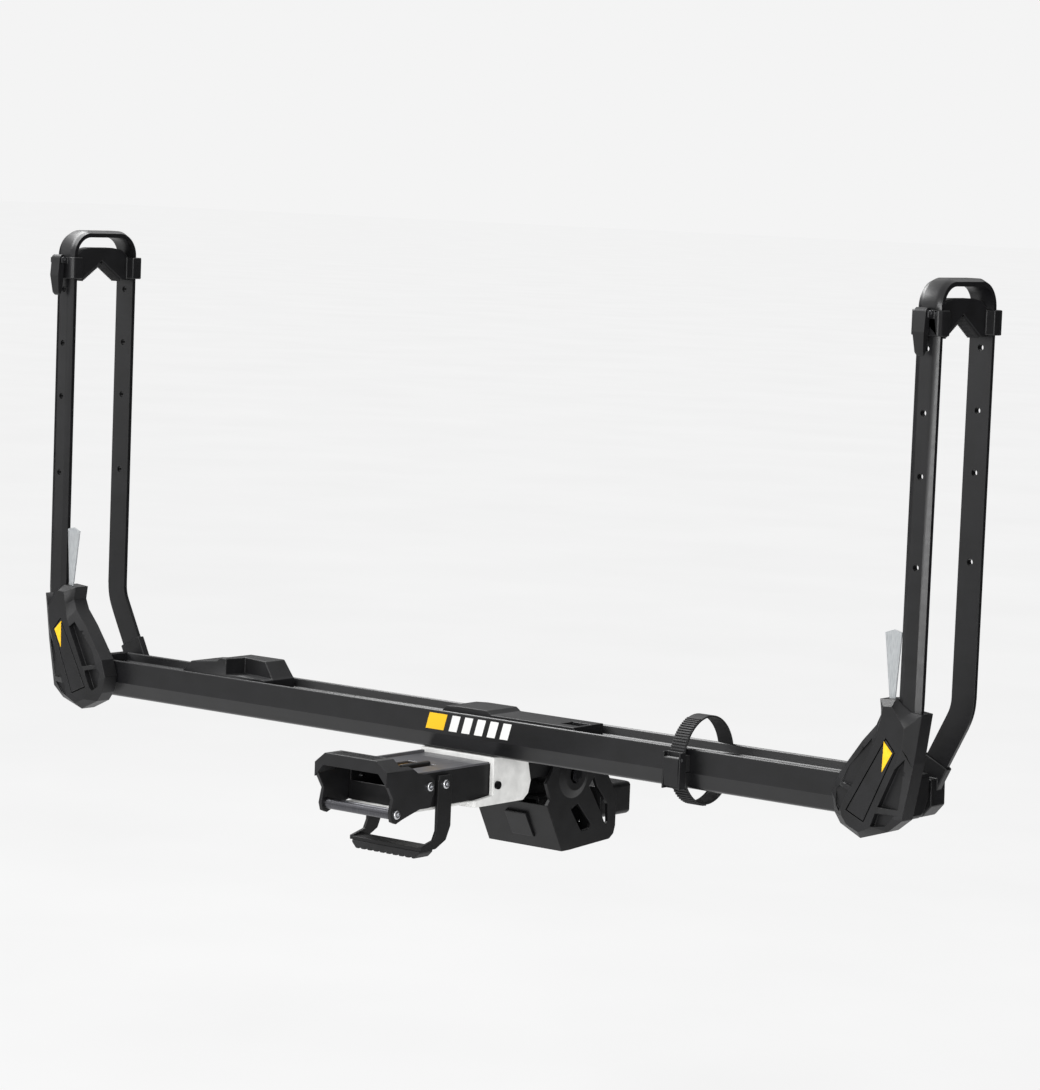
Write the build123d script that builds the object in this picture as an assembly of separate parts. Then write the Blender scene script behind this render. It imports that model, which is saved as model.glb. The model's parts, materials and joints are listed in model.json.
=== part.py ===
from build123d import *
import os
from math import cos, sin, radians

# Hitch mounted bike rack, wheel-clamping type, one tray.
# Lengths in millimetres.  +Z is up, +X runs along the tray beam, +Y points to the vehicle.
# Pieces are drawn in tray coordinates: x = 0 at mid beam, y = 0 on the beam's centre line and
# z = 0 on the beam's top edge.  They are written out with the origin at the hitch pin hole.

# ---- driving dimensions ------------------------------------------------------------------
# beam
beam_length = 1504.0        # cut length of the tray extrusion
beam_half = 44.8            # half of its width
beam_depth = 60.0           # top edge to underside
beam_side = 34.5            # height of the upright front and back faces
beam_foot = 24.0            # half width of the flat underside
beam_wall = 3.0
rail_width = 4.0            # flat rail on each side of the trough
trough_draft = 4.8          # lean of each trough wall
trough_depth = 14.0
cap_length = 18.0           # how far an end cap stands past the beam

# arms
pivot_edge = 2.0            # metal between the axle's hole and the beam's end
arm_reach = 61.0            # fold axis to the centre line of the arm's upright legs
arm_pivot_drop = 34.0       # fold axis below the beam's top edge
arm_top = 675.0             # highest point of the arm above the beam's top edge
arm_lean = 26.5             # degrees that the lower legs lean in to the axis
arm_bend_radius = 70.0      # centre line radius of that bend
arm_corner_radius = 40.0    # outer radius of the loop's top corners
leg_gap = 124.8             # clear gap between the two legs, where the tyre stands
leg_width = 36.0
leg_thick = 10.6
leg_flat = 19.0             # width of the flat on the outer face, between its two bevels
leg_edge = 6.4              # thickness left at the leg's edges
index_hole_r = 4.5
index_hole_drops = (93.3, 178.3, 262.4, 383.4)  # below the arm's highest point
axle_r = 8.0
bush_wall = 3.0
running_gap = 0.05          # radial clearance of a running fit

# pods at the foot of each arm
pod_cover = 14.0            # front pod's face in front of the leg
pod_gap = 1.7               # pod's back face to the beam's side
rear_pod_cover = 13.0       # rear pod's back behind the leg
sleeve_wall = 3.2           # rear pod's sleeve round the leg
sleeve_length = 55.0        # fold axis to the sleeve's mouth, along the leg
pocket_gap = 0.15           # clearance of a leg in its pod
paddle_thick = 7.0
paddle_gap = 1.2            # gap around the release paddle
paddle_recess = 3.0         # room behind it for its top end to swing in
paddle_hinge = (41.0, 82.4) # x, z of its hinge from the fold axis
paddle_hinge_in = 3.8       # hinge behind the pod's face
trunnion_r = 2.2
trunnion_reach = 14.0       # hinge centre to each trunnion's end
ratchet_r = 24.0
ratchet_thick = 5.5
ratchet_teeth = 18
ratchet_gap = 1.2           # clearance round the ratchet plate in the pod
pawl_width = 10.0
pawl_length = 26.0
pawl_travel = 5.0
pawl_gap = 0.3
fin_thick = 2.5
fin_inset = 4.0             # fin's front face behind the leg's outer face

# yoke: the sliding clamp between an arm's legs
yoke_hang = 27.0            # top of the yoke below the arm's highest point
yoke_height = 51.0
collar_drop = 15.0          # top of its collars below its own top
notch_half = 46.0           # half width of the tyre notch
notch_rise = 30.0           # depth of the tyre notch
bridge_half = 10.0          # half thickness of the bridge between the collars
boss_r = 7.0                # boss on the rear collar
pad_thick = 4.0
slide_gap = 0.3
collar_wall = 6.0
lever_pivot_r = 3.0
lever_length = 58.0
lever_width = 18.0
lever_stand = 7.2           # lever's pin in front of the collar
lever_ear = 3.5             # thickness of the ears that hold the pin
lever_ear_gap = 0.5

# hitch mount and tilt pivot
pivot_back = 160.0          # tilt axis behind the beam's centre line
pivot_drop = 104.0          # tilt axis below the beam's top edge
stinger_drop = 62.5         # tilt axis down to the stinger's centre line
pin_back = 158.0            # tilt axis back to the hitch pin hole
stinger_size = 50.8         # 2 inch square tube
stinger_wall = 6.35
stinger_end = 45.0          # hitch pin hole to the end of the tube
hitch_pin_r = 8.15          # for a 5/8 inch hitch pin
bracket_half = 70.0         # half of the bracket's outer width
bracket_plate = 6.0
bracket_floor = 115.0       # tilt axis down to the bracket's underside
pivot_bolt_r = 8.0
cam_r = 58.0
cam_half = 10.0

# spine channel, its casting, and the release gear
spine_half = 62.0
spine_wall = 3.0
spine_front = -202.0
spine_top = -70.0
spine_floor = -120.0
cast_half = 70.0
cast_front = -33.0
cast_rear = 57.0
cast_floor = -130.0
window_left, window_right = -22.0, 30.0     # window in the lid, over the latch slide
window_front, window_rear = -197.0, -118.0
slide_thick = 3.0
handle_slide = 12.0         # travel of the latch slide
latch_r = 9.0
latch_z = -99.0
handle_pivot = (-176.0, -88.0)      # y, z of the release handle's axis
foot_pivot = (-140.0, -88.0)        # y, z of the foot loop's axis
cheek_thick = 5.5
loop_thick = 5.0
loop_low = -181.0           # underside of the foot bar
side_gap = 0.5
fit_gap = 0.3               # casting round the spine
tray_front = -232.0         # front edge of the casting's lower plate
fixing_x = 40.0             # bolts between the beam's floor and the casting
side_bolt = (-24.0, -101.0) # y, z of the casting's side bolts
screw_r = 4.0
screw_head_r = 6.7
screw_head_h = 3.4
roller_r = 8.0
roller_z = -121.0
handle_front = -272.0

# strap
strap_x = 418.0
strap_width = 25.5
strap_thick = 2.5
strap_stand = 16.2          # strap's outer face beyond the beam's side
strap_half_z = 63.5
strap_z = -20.5

# tray fittings
block_left, block_right = -557.0, -385.0
cover_left, cover_step, cover_right = -29.0, 63.0, 216.0

# ---- derived places ----------------------------------------------------------------------
beam_end = beam_length / 2
trough_half = beam_half - rail_width
trough_floor = trough_half - trough_draft
leg_in = leg_gap / 2
leg_out = leg_in + leg_thick
arm_pivot_x = beam_end - axle_r - pivot_edge
arm_spread = arm_pivot_x + arm_reach
yoke_top = arm_top - yoke_hang
yoke_foot = yoke_top - yoke_height
collar_top = yoke_top - collar_drop
yoke_out = leg_out + slide_gap + collar_wall
lever_y = -(yoke_out + lever_stand)
lever_z = collar_top - 3
origin_shift = Location((0, -(pivot_back + pin_back), pivot_drop + stinger_drop))
stinger_z = -(pivot_drop + stinger_drop)
bracket_in = bracket_half - bracket_plate
bracket_low = -(pivot_drop + bracket_floor)
bush_r = axle_r + running_gap + bush_wall
lean = radians(arm_lean)
leg_dir = Vector(-sin(lean), 0, -cos(lean))
arm_axis = Vector(arm_pivot_x, 0, -arm_pivot_drop)
straight_in = arm_bend_radius * (1 - cos(lean))
lower_run = (arm_spread - straight_in - arm_pivot_x) / sin(lean)
bend_z = -arm_pivot_drop + lower_run * cos(lean) + arm_bend_radius * sin(lean)
corner_z = arm_top - arm_corner_radius
pod_back = beam_half + pod_gap
pod_front = leg_out + pod_cover
rear_pod_depth = leg_out + rear_pod_cover
roller_y = handle_front + 24
strap_half_y = beam_half + strap_stand


# ---- small helpers -----------------------------------------------------------------------
def block(x0, x1, y0, y1, z0, z1):
    """Box between two corners."""
    return Pos((x0 + x1) / 2, (y0 + y1) / 2, (z0 + z1) / 2) * Box(x1 - x0, y1 - y0, z1 - z0)


def plate(plane, points, depth):
    """Closed outline on a plane, extruded along the plane's normal."""
    return extrude(plane * make_face(Polyline(*points, close=True)), depth)


def prism_x(points, x0, x1):
    """Outline in (y, z) carried from x0 to x1."""
    return plate(Plane(origin=(x0, 0, 0), x_dir=(0, 1, 0), z_dir=(1, 0, 0)), points, x1 - x0)


def prism_y(points, y0, y1):
    """Outline in (x, z) carried from y0 to y1."""
    return plate(Plane(origin=(0, y1, 0), x_dir=(1, 0, 0), z_dir=(0, -1, 0)), points, y1 - y0)


def from_axis(points):
    """Outline given from the right arm's fold axis, in tray coordinates."""
    return [(arm_pivot_x + x, z - arm_pivot_drop) for x, z in points]


def rod(r, start, axis, length):
    """Round bar from a point along an axis."""
    place = Plane(origin=start, z_dir=axis)
    return place * Cylinder(r, length, align=(Align.CENTER, Align.CENTER, Align.MIN))


def both(part):
    """A piece and its mirror image across the middle of the beam."""
    return part + mirror(part, about=Plane.YZ)


def save(name, part):
    """Write one node with the origin at the hitch pin hole."""
    export_step(origin_shift * part, f"parts/{name}.step")


def save_pair(name, part):
    """Write the right piece and its left partner."""
    save(name + "_right", part)
    save(name + "_left", mirror(part, about=Plane.YZ))


# ---- tray beam ---------------------------------------------------------------------------
def beam():
    low = beam_depth - 2.5
    outer = [(-beam_half, 0), (-beam_half, -beam_side), (-beam_half + 12.8, -low),
             (-beam_foot, -beam_depth), (beam_foot, -beam_depth), (beam_half - 12.8, -low),
             (beam_half, -beam_side), (beam_half, 0), (trough_half, 0),
             (trough_floor, -trough_depth), (-trough_floor, -trough_depth), (-trough_half, 0)]
    side = beam_half - beam_wall
    roof = -(trough_depth + beam_wall)
    half_cell = [(side - 5, roof), (side, roof - 5), (side, -beam_side + 1),
                 (side - 12.5, -low + beam_wall), (beam_foot - 1, -beam_depth + beam_wall)]
    cell = half_cell + [(-y, z) for y, z in reversed(half_cell)]
    part = prism_x(outer, -beam_end, beam_end) - prism_x(cell, -beam_end, beam_end)
    for x in (-arm_pivot_x, arm_pivot_x):
        part -= rod(axle_r, (x, -beam_half - 1, -arm_pivot_drop), (0, 1, 0), 2 * beam_half + 2)
    part -= both(rod(screw_r, (fixing_x, 0, -beam_depth - 1), (0, 0, 1), beam_wall + 2))
    return part


def end_cap():
    """Moulded plug that closes the beam; its rim is chamfered."""
    low = beam_depth - 2.5
    rim = [(-beam_half, 0), (-beam_half, -beam_side), (-beam_half + 12.8, -low),
           (-beam_foot, -beam_depth), (beam_foot, -beam_depth), (beam_half - 12.8, -low),
           (beam_half, -beam_side), (beam_half, 0)]
    part = prism_x(rim, beam_end, beam_end + cap_length)
    part = chamfer(part.faces().sort_by(Axis.X)[-1].edges(), 4)
    tongue_y, tongue_z = beam_foot - 2, trough_depth + beam_wall
    return part + block(beam_end - 1.5, beam_end, -tongue_y, tongue_y,
                        -beam_depth + beam_wall + 0.5, -tongue_z - 0.5)


def wheel_block():
    """Tyre rest in the trough: a ramp on the left and a scoop on the right."""
    half = trough_floor - 1
    floor = -trough_depth
    x0, x1 = block_left, block_right
    part = prism_y([(x0, floor), (x0, 0), (x0 + 17, 16), (x0 + 72, 22), (x0 + 79, 27),
                    (x1 - 22, 27), (x1 - 4, 4), (x1, 0), (x1, floor)], -half, half)
    scoop = Pos(x0 + 96, -half + 22, 0) * Rot(0, 0, -12) * block(0, 90, -60, 14, 2, 40)
    part -= scoop
    groove = [prism_y([(x1 - 22 + 3 * i, 40), (x1 - 21 + 3 * i, 40), (x1 - 21 + 3 * i, 0.5),
                       (x1 - 22 + 3 * i, 0.5)], -half - 1, -half + 4) for i in range(5)]
    for cut in groove:
        part -= cut
    return part


def centre_cover():
    """Cover over the spine's bolts: a raised end, then a thin plate with a slot."""
    half = trough_floor - 1
    floor = -trough_depth
    part = prism_y([(cover_left, floor), (cover_left, 0), (cover_left + 7, 6.5),
                    (cover_left + 30, 8), (cover_step - 8, 8), (cover_step, 2.5),
                    (cover_right, 2.5), (cover_right, floor)], -half, half)
    part -= block(cover_right - 38, cover_right - 6, -16, 12, -6, 5)
    return part


# ---- spine, casting and release box ------------------------------------------------------
def spine_channel():
    """Steel channel: release box in front, tilt barrels behind."""
    rise = -(pivot_drop - 2)
    tail = pivot_back
    wall = [(spine_front, spine_top), (tail, spine_top), (tail, rise), (cast_rear + 8, rise),
            (cast_rear + 2, spine_floor), (spine_front, spine_floor)]
    side = prism_x(wall, spine_half - spine_wall, spine_half)
    barrel = rod(22, (cam_half + 2, pivot_back, -pivot_drop), (1, 0, 0), spine_half - cam_half - 2)
    side += barrel
    side -= rod(pivot_bolt_r + running_gap + bush_wall,
                (cam_half, pivot_back, -pivot_drop), (1, 0, 0), spine_half)
    for y, z in (handle_pivot, foot_pivot):
        side -= rod(screw_r, (spine_half - 10, y, z), (1, 0, 0), 12)
    floor = block(-spine_half, spine_half, spine_front, cast_rear - 4,
                  spine_floor, spine_floor + spine_wall)
    front = block(-spine_half, spine_half, spine_front, spine_front + spine_wall,
                  spine_floor, spine_top - 22)
    tie = block(-spine_half, spine_half, cast_rear + 22, cast_rear + 28, spine_top - 12, spine_top)
    return both(side) + floor + front + tie


def spine_casting():
    """White painted casting that clamps the spine under the beam."""
    roof = -beam_depth
    tray_top = spine_floor - fit_gap
    shell = [(cast_front, roof), (46, roof), (cast_rear, -102), (52, -121), (40, cast_floor),
             (-75, cast_floor), (-75, tray_top), (cast_front, -116)]
    part = prism_x(shell, -cast_half, cast_half)
    part = chamfer(part.edges().filter_by(Axis.Z).group_by(Axis.Y)[0], 3)
    part -= block(-spine_half - fit_gap, spine_half + fit_gap, -90, cast_rear + 5,
                  tray_top, spine_top + fit_gap)
    part += block(-spine_half + 4, spine_half - 4, tray_front, -70, tray_top - 5, tray_top)
    part -= both(rod(screw_r, (fixing_x, 0, spine_top), (0, 0, 1), 12))
    side_y, side_z = side_bolt
    return part - both(rod(screw_r, (cast_half - 10, side_y, side_z), (1, 0, 0), 12))


def box_lid():
    """Grey lid over the front of the spine channel."""
    top = spine_top + 3
    part = block(-spine_half, spine_half, spine_front, cast_front - 0.5, spine_top, top)
    part += block(-spine_half, -spine_half + 5, spine_front + 30, cast_front - 6, top, top + 4)
    part -= block(window_left, window_right, window_front, window_rear, spine_top - 1, top + 1)
    return part


def latch_slide():
    """Zinc plated slide in the lid's window, with the black thumb bar's seat."""
    under = spine_top - fit_gap
    return block(window_left - 4, window_right + 4, window_front + 9, window_rear + 10,
                 under - slide_thick, under)


def latch_bolt():
    """Round bolt with a tongue up to the slide."""
    tip = pivot_back - cam_r - 0.6
    part = rod(latch_r, (0, -150, latch_z), (0, 1, 0), tip + 150)
    part = chamfer(part.edges().group_by(Axis.Y)[-1], 2.5)
    return part + block(-6, 6, -140, -126, latch_z, spine_top - fit_gap - slide_thick)


def latch_guide():
    """Cross block inside the channel that carries the latch bolt."""
    part = block(-spine_half + spine_wall, spine_half - spine_wall, 20, 44,
                 spine_floor + spine_wall, spine_top - 4)
    return part - rod(latch_r + running_gap, (0, 19, latch_z), (0, 1, 0), 26)


def latch_spring():
    """Return spring of the latch bolt, as its outer envelope."""
    ring = rod(latch_r + 4, (0, -60, latch_z), (0, 1, 0), 80)
    return ring - rod(latch_r + 1, (0, -61, latch_z), (0, 1, 0), 82)


def top_slider():
    """Thumb bar on the latch slide."""
    top = spine_top + 8
    bar = block(14, 22, window_front + handle_slide + 3, window_rear - 2,
                spine_top - fit_gap, top)
    return chamfer(bar.edges().filter_by(Axis.Y).group_by(Axis.Z)[-1], 2)


def button_screw(x, y, z, reach):
    """Button head screw along X whose head rests on the face at x, on the right side."""
    head = rod(screw_head_r, (x, y, z), (1, 0, 0), screw_head_h)
    head = fillet(head.edges().group_by(Axis.X)[-1], 2.2)
    socket = RegularPolygon(2.6, 6)
    hole = extrude(Plane(origin=(x + screw_head_h, y, z), z_dir=(-1, 0, 0)) * socket, 2)
    return head + rod(screw_r - 0.05, (x - reach, y, z), (1, 0, 0), reach) - hole


# ---- release handle and foot loop --------------------------------------------------------
def handle_frame():
    """D-shaped pull: ribbed top bar between two waved cheeks."""
    inner = spine_half + side_gap
    outer = inner + cheek_thick
    py, pz = handle_pivot
    front = handle_front
    cheek = make_face(Polyline((front + 36, -44), (front + 7, -44), (front, -52),
                               (front, -72), (front + 16, -98), (roller_y - 13, roller_z + 2),
                               (roller_y - 9, roller_z - 10), (roller_y, roller_z - 13.5),
                               (roller_y + 12, roller_z - 9), (py - 20, pz - 31), (py + 2, pz - 31),
                               (py + 12, pz - 8), (py + 11, pz + 8), (py, pz + 17),
                               (py - 26, pz + 22), close=True))
    side = extrude(Plane(origin=(inner, 0, 0), x_dir=(0, 1, 0), z_dir=(1, 0, 0)) * cheek,
                   cheek_thick)
    side -= rod(screw_r + running_gap, (inner - 1, py, pz), (1, 0, 0), cheek_thick + 2)
    side -= rod(screw_r, (inner - 1, roller_y, roller_z), (1, 0, 0), cheek_thick + 2)
    bar = block(-outer, outer, front, front + 36, -62, -44)
    bar += both(prism_y([(outer - 16, -62), (outer, -62), (outer, -80)], front, front + 36))
    part = both(side) + bar
    part = part - prism_y([(-outer - 1, -43), (-outer - 1, -60), (-outer + 20, -43)],
                          front - 1, front + 72)
    part = part - prism_y([(outer + 1, -43), (outer + 1, -60), (outer - 20, -43)],
                          front - 1, front + 72)
    for i in range(13):
        part -= block(-39 + 6 * i, -36 + 6 * i, front + 6, front + 31, -45, -43)
    return part


def handle_roller():
    half = spine_half + side_gap
    part = rod(roller_r, (-half, roller_y, roller_z), (1, 0, 0), 2 * half)
    return part - rod(screw_r - 0.05, (-half - 1, roller_y, roller_z), (1, 0, 0), 2 * half + 2)


def roller_screws():
    half = spine_half + side_gap + cheek_thick
    return both(button_screw(half, roller_y, roller_z, cheek_thick + 20))


def lever_screws():
    """Shoulder screws on which the release handle and the foot loop turn."""
    group = None
    for (y, z), thick in ((handle_pivot, cheek_thick), (foot_pivot, loop_thick)):
        reach = side_gap + thick + 0.3
        screws = both(button_screw(spine_half + reach, y, z, reach + spine_wall + 3))
        group = screws if group is None else group + screws
    return group


def foot_loop():
    """Flat strip bent to a U that hangs from the spine, with its foot bar in front."""
    inner = spine_half + side_gap
    outer = inner + loop_thick
    py, pz = foot_pivot
    side = [(py - 13, pz + 13), (py + 13, pz + 13), (py + 15.5, pz + 4), (py + 15.5, -150),
            (py + 6, -170), (py - 16, loop_low), (py - 50, loop_low + 1), (py - 50, loop_low + 6),
            (py - 22, -168), (py - 15.5, -155), (py - 15.5, pz + 4)]
    leg = prism_x(side, inner, outer)
    leg -= rod(screw_r + running_gap, (inner - 1, py, pz), (1, 0, 0), 8)
    bar = block(-outer, outer, py - 50, py - 18, loop_low, loop_low + loop_thick)
    part = both(leg) + bar
    return part


def foot_tread():
    """Rubber tread under the foot bar, with cleats."""
    outer = spine_half + side_gap + loop_thick
    py = foot_pivot[0]
    part = block(-outer + 4, outer - 4, py - 50, py - 18, loop_low - 12, loop_low)
    part = chamfer(part.edges().filter_by(Axis.Y).group_by(Axis.Z)[0], 8)
    for i in range(9):
        part -= block(-50 + 12 * i, -46 + 12 * i, py - 51, py - 17, loop_low - 13, loop_low - 9)
    return part


# ---- hitch mount -------------------------------------------------------------------------
def front_line(z):
    """y of the bracket's slanted front face at height z."""
    top_y, top_z = pivot_back - 62, -(pivot_drop + 42)
    low_y = pivot_back - 22
    return top_y + (z - top_z) / (bracket_low - top_z) * (low_y - top_y)


def mount_bracket():
    """Folded and welded bracket: two cheeks, a slanted front and a floor."""
    z_top = -(pivot_drop + 42)
    cy, cz = pivot_back, -pivot_drop
    cheek = [(front_line(z_top), z_top), (cy - 54, cz - 33), (cy - 65, cz - 8), (cy - 54, cz + 7),
             (cy - 36, cz + 34), (cy + 30, cz + 34), (cy + 56, cz + 22), (cy + 89, cz - 11),
             (cy + 110, cz - 42), (cy + 110, cz - 90), (cy + 106, cz - 102), (cy + 96, cz - 109),
             (cy - 4, bracket_low), (front_line(bracket_low), bracket_low)]
    side = prism_x(cheek, bracket_in, bracket_half)
    dish = Plane(origin=(bracket_half, cy, cz), z_dir=(1, 0, 0)) * Cone(
        36, 24, 5, align=(Align.CENTER, Align.CENTER, Align.MIN))
    side += dish
    side -= rod(13, (bracket_half + 1, cy, cz), (1, 0, 0), 5)
    side -= rod(pivot_bolt_r, (bracket_in - 1, cy, cz), (1, 0, 0), 12)
    side -= prism_x([(cy - 3, cz - 53), (cy + 14, cz - 46), (cy + 47, cz - 80),
                     (cy + 46, cz - 87), (cy + 25, cz - 90)], bracket_in - 1, bracket_half + 1)
    side -= prism_x([(cy + 52, cz - 9), (cy + 41, cz - 22), (cy + 71, cz - 64),
                     (cy + 84, cz - 85), (cy + 91, cz - 82), (cy + 89, cz - 55),
                     (cy + 61, cz - 25)], bracket_in - 1, bracket_half + 1)
    slant = prism_x([(front_line(z_top), z_top), (front_line(z_top) + 7, z_top),
                     (front_line(bracket_low) + 7, bracket_low),
                     (front_line(bracket_low), bracket_low)], -bracket_half, bracket_half)
    floor_y = pivot_back - 15
    floor = block(-bracket_in, bracket_in, floor_y, cy + 96, bracket_low + 4, bracket_low + 9)
    return both(side) + slant + floor


def stinger_supports():
    """Rear cross plate around the stinger and two saddles under it, all welded in."""
    cy = pivot_back
    half = stinger_size / 2
    part = block(-bracket_in, bracket_in, cy + 78, cy + 84, bracket_low + 9, stinger_z + half + 8)
    part -= block(-half, half, cy + 70, cy + 90, stinger_z - half, stinger_z + half)
    for y in (cy + 20, cy + 56):
        part += block(-30, 30, y, y + 14, bracket_low + 9, stinger_z - half)
    return part


def stinger():
    half = stinger_size / 2
    front = front_line(stinger_z - half) + 12
    rear = pivot_back + pin_back + stinger_end
    part = block(-half, half, front, rear, stinger_z - half, stinger_z + half)
    part = fillet(part.edges().filter_by(Axis.Y), 7)
    inner = half - stinger_wall
    part -= block(-inner, inner, front - 1, rear + 1, stinger_z - inner, stinger_z + inner)
    pin_y = pivot_back + pin_back
    return part - rod(hitch_pin_r, (-half - 1, pin_y, stinger_z), (1, 0, 0), stinger_size + 2)


def stinger_plug():
    """Moulded end cap of the stinger, pushed in from the vehicle side."""
    inner = stinger_size / 2 - stinger_wall
    rear = pivot_back + pin_back + stinger_end
    half = stinger_size / 2
    flange = block(-half + 1, half - 1, rear, rear + 3, stinger_z - half + 1, stinger_z + half - 1)
    flange = fillet(flange.edges().filter_by(Axis.Y), 6)
    tongue = block(-inner + 0.1, inner - 0.1, rear - 14, rear,
                   stinger_z - inner + 0.1, stinger_z + inner - 0.1)
    return flange + tongue - block(-inner + 3, inner - 3, rear - 15, rear - 2,
                                   stinger_z - inner + 3, stinger_z + inner - 3)


def front_plug():
    """Square plug on the bracket's slanted face."""
    z0, z1 = stinger_z - 35, stinger_z + 5
    face = prism_x([(front_line(z1), z1), (front_line(z1) - 5, z1 - 2),
                    (front_line(z0) - 5, z0 + 1), (front_line(z0), z0)], -14, 26)
    return chamfer(face.edges().filter_by(Axis.X).group_by(Axis.Y)[0], 1.2)


def index_cam():
    """Notched cam on the stinger that the latch bolt locks into."""
    cy, cz = pivot_back, -pivot_drop
    foot_z = stinger_z + stinger_size / 2
    part = rod(cam_r, (-cam_half, cy, cz), (1, 0, 0), 2 * cam_half)
    part -= block(-20, 20, cy - 70, cy + 70, cz - 70, foot_z)
    for angle in (0, 25, 90):
        tilt = Pos(0, cy, cz) * Rot(-angle, 0, 0) * Pos(0, -cam_r, latch_z + pivot_drop)
        part -= tilt * Box(2 * cam_half + 2, 12, 2 * latch_r)
    return part - rod(pivot_bolt_r, (-cam_half - 1, cy, cz), (1, 0, 0), 2 * cam_half + 2)


def pivot_bolt():
    """Tilt axle with its hex head on the left."""
    cy, cz = pivot_back, -pivot_drop
    start = -bracket_half - 1
    shaft = rod(pivot_bolt_r, (start, cy, cz), (1, 0, 0), 2 * bracket_half + 10)
    head_plane = Plane(origin=(start, cy, cz), z_dir=(-1, 0, 0))
    return shaft + extrude(head_plane * RegularPolygon(12.0, 6), 8)


def pivot_nut():
    cy, cz = pivot_back, -pivot_drop
    plane = Plane(origin=(bracket_half + 1, cy, cz), z_dir=(1, 0, 0))
    nut = extrude(plane * RegularPolygon(12.0, 6), 7.5)
    return nut - rod(pivot_bolt_r, (bracket_half, cy, cz), (1, 0, 0), 10)


def pivot_washers():
    ring = rod(20, (spine_half, pivot_back, -pivot_drop), (1, 0, 0), bracket_in - spine_half)
    ring -= rod(pivot_bolt_r, (spine_half - 1, pivot_back, -pivot_drop), (1, 0, 0), 5)
    return both(ring)


def pivot_bushes():
    """Plain bearings pressed in the spine's two barrels."""
    start = (cam_half + 2, pivot_back, -pivot_drop)
    length = spine_half - cam_half - 2
    ring = rod(pivot_bolt_r + running_gap + bush_wall, start, (1, 0, 0), length)
    return both(ring - rod(pivot_bolt_r + running_gap, start, (1, 0, 0), length))


# ---- arms --------------------------------------------------------------------------------
def leg_section(extra):
    """Leg's cross section: u across the leg, v out from its inner face."""
    h, flat = leg_width / 2 + extra, leg_flat / 2 + extra
    return Polyline((-h, -extra), (-h, leg_edge + extra), (-flat, leg_thick + extra),
                    (flat, leg_thick + extra), (h, leg_edge + extra), (h, -extra), close=True)


def leg_plane(z):
    """Cross section plane of the front leg's upright run."""
    return Plane(origin=(arm_spread, -leg_in, z), x_dir=(1, 0, 0), z_dir=(0, 0, -1))


def lower_leg(extra):
    """Bend and leaning lower run of the front leg, down to the fold axis."""
    start = leg_plane(bend_z) * make_face(leg_section(extra))
    axis = Axis((arm_spread - arm_bend_radius, 0, bend_z), (0, 1, 0))
    bend = revolve(start, axis, arm_lean)
    end_x = arm_spread - straight_in
    end_z = bend_z - arm_bend_radius * sin(lean)
    plane = Plane(origin=(end_x, -leg_in, end_z), x_dir=(cos(lean), 0, -sin(lean)),
                  z_dir=tuple(leg_dir))
    run = extrude(plane * make_face(leg_section(extra)), lower_run)
    tip = rod(leg_width / 2 + extra, (arm_pivot_x, -leg_out - extra, -arm_pivot_drop),
              (0, 1, 0), leg_thick + 2 * extra)
    return bend + run + tip


def arm_frame():
    """U-shaped arm: loop on top, two legs, each bent in to the fold axis."""
    upright = extrude(leg_plane(corner_z) * make_face(leg_section(0)), corner_z - bend_z)
    inner_r = arm_corner_radius - leg_thick
    turn = Axis((0, -leg_in + inner_r, corner_z), (1, 0, 0))
    corner = revolve(leg_plane(corner_z) * make_face(leg_section(0)), turn, -90)
    top_plane = Plane(origin=(arm_spread, -leg_in + inner_r, corner_z + inner_r),
                      x_dir=(1, 0, 0), z_dir=(0, -1, 0))
    top = extrude(top_plane * make_face(leg_section(0)), -(leg_in - inner_r))
    leg = upright + corner + top + lower_leg(0)
    for drop in index_hole_drops:
        leg -= rod(index_hole_r, (arm_spread, -leg_out - 1, arm_top - drop), (0, 1, 0),
                   leg_thick + 2)
    leg -= rod(bush_r, (arm_pivot_x, -leg_out - 1, -arm_pivot_drop), (0, 1, 0), leg_thick + 2)
    return leg + mirror(leg, about=Plane.XZ)


def axle_bushes():
    """Plain bearings of the arm on its axle, one in each leg."""
    start = (arm_pivot_x, -leg_out, -arm_pivot_drop)
    length = leg_out - pod_back - ratchet_thick - 1.3
    ring = rod(bush_r, start, (0, 1, 0), length)
    ring -= rod(axle_r + running_gap, start, (0, 1, 0), length)
    return ring + mirror(ring, about=Plane.XZ)


def arm_axle():
    return rod(axle_r, (arm_pivot_x, -leg_out, -arm_pivot_drop), (0, 1, 0), 2 * leg_out)


def ratchet_plate():
    """Toothed plate on the beam's front face, inside the front pod."""
    part = rod(ratchet_r, (arm_pivot_x, -beam_half - ratchet_thick, -arm_pivot_drop),
               (0, 1, 0), ratchet_thick)
    cuts = []
    for i in range(ratchet_teeth):
        turn = Pos(*tuple(arm_axis)) * Rot(0, 360 / ratchet_teeth * i, 0)
        cuts.append(turn * Pos(0, -beam_half - ratchet_thick / 2, ratchet_r) *
                    Rot(0, 45, 0) * Box(4, ratchet_thick + 2, 4))
    part -= cuts
    return part - rod(axle_r, (arm_pivot_x, -beam_half - 10, -arm_pivot_drop), (0, 1, 0), 20)


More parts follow.
